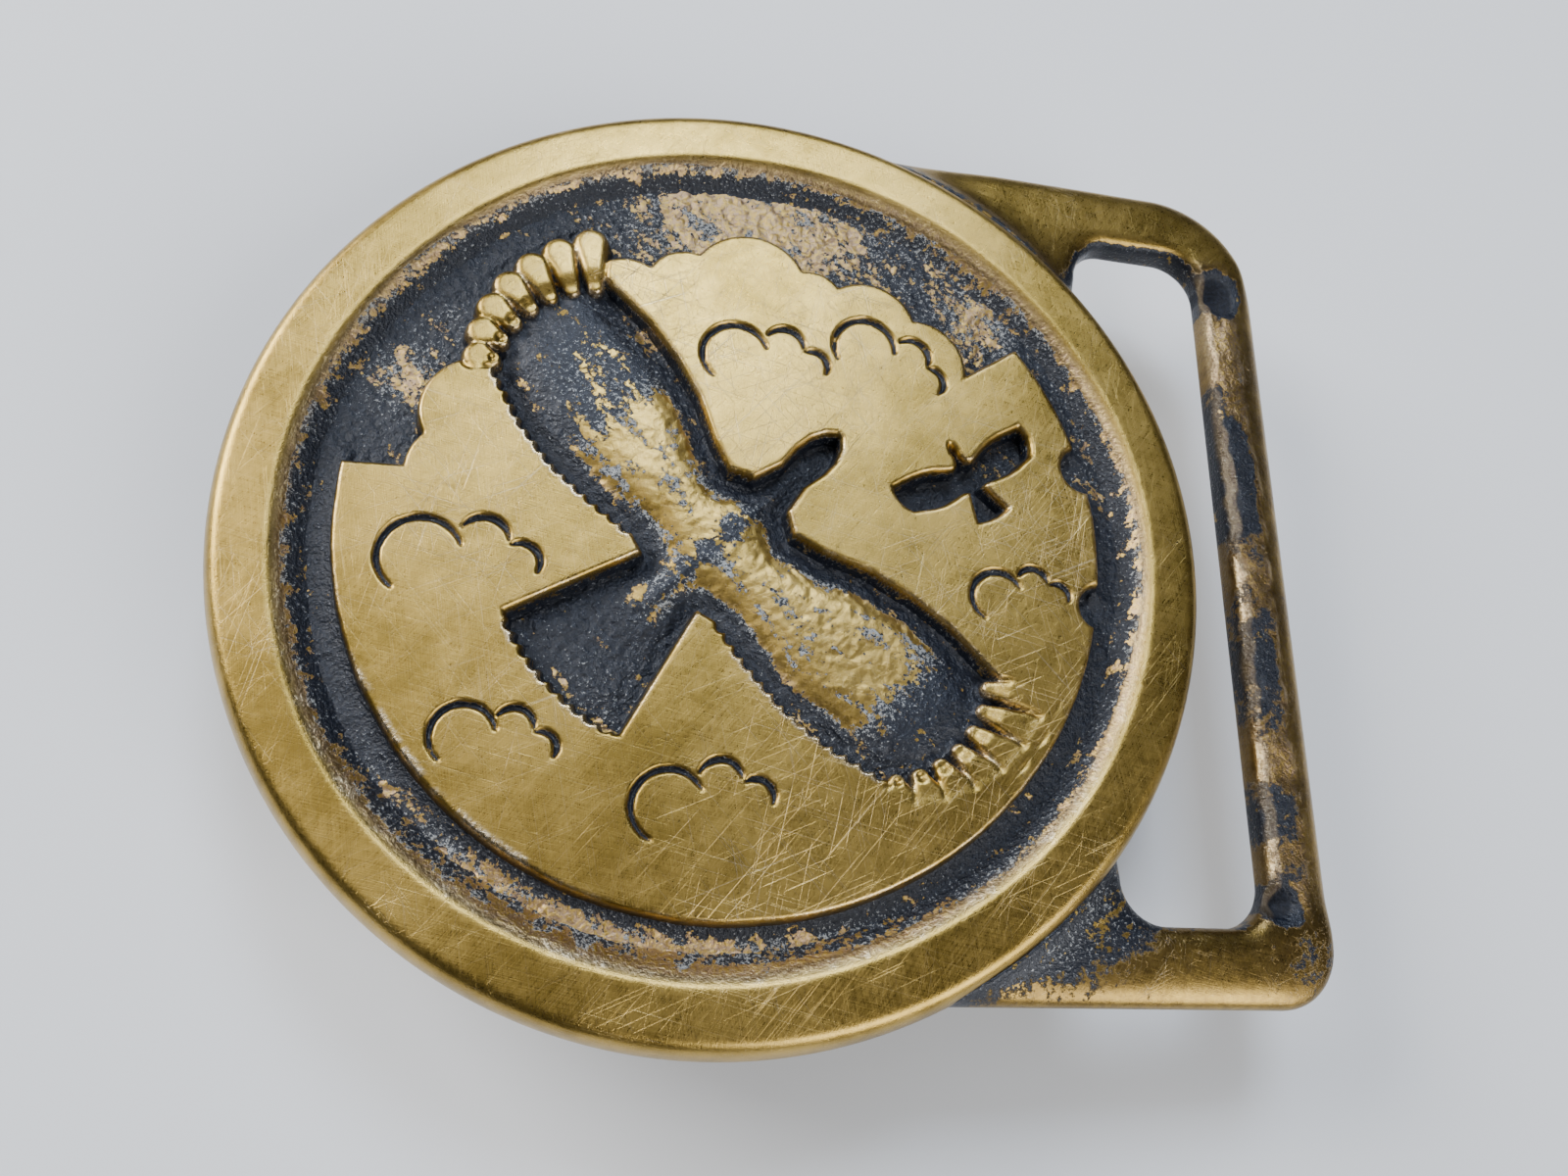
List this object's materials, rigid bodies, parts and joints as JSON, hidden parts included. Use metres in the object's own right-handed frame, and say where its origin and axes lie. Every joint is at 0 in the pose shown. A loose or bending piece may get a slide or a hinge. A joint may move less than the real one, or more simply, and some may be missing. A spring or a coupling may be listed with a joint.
{
  "type": "belt buckle",
  "caption": "Round cast brass plate buckle with a bird-and-cloud relief, a side loop for the strap's fixed end and a hook on its back for the free end.",
  "frame": {"origin": "middle of the flat field on the back of the disc, on the disc's own axis", "axes": "+Z out of the picture side along the disc's axis, +X towards the strap loop, +Y towards the top of the picture"},
  "size_m": [0.0715, 0.0636, 0.0134],
  "materials": {
    "casting": "hand-polished high places with fine scratches over rough cast ground with blue-black patina",
    "hook": "worn satin rod",
    "braze": "rippled filler metal, lightly tarnished"
  },
  "bodies": {
    "root": {"buckle_casting": "casting", "belt_hook": "hook", "hook_braze": "braze"}
  },
  "joints": []
}
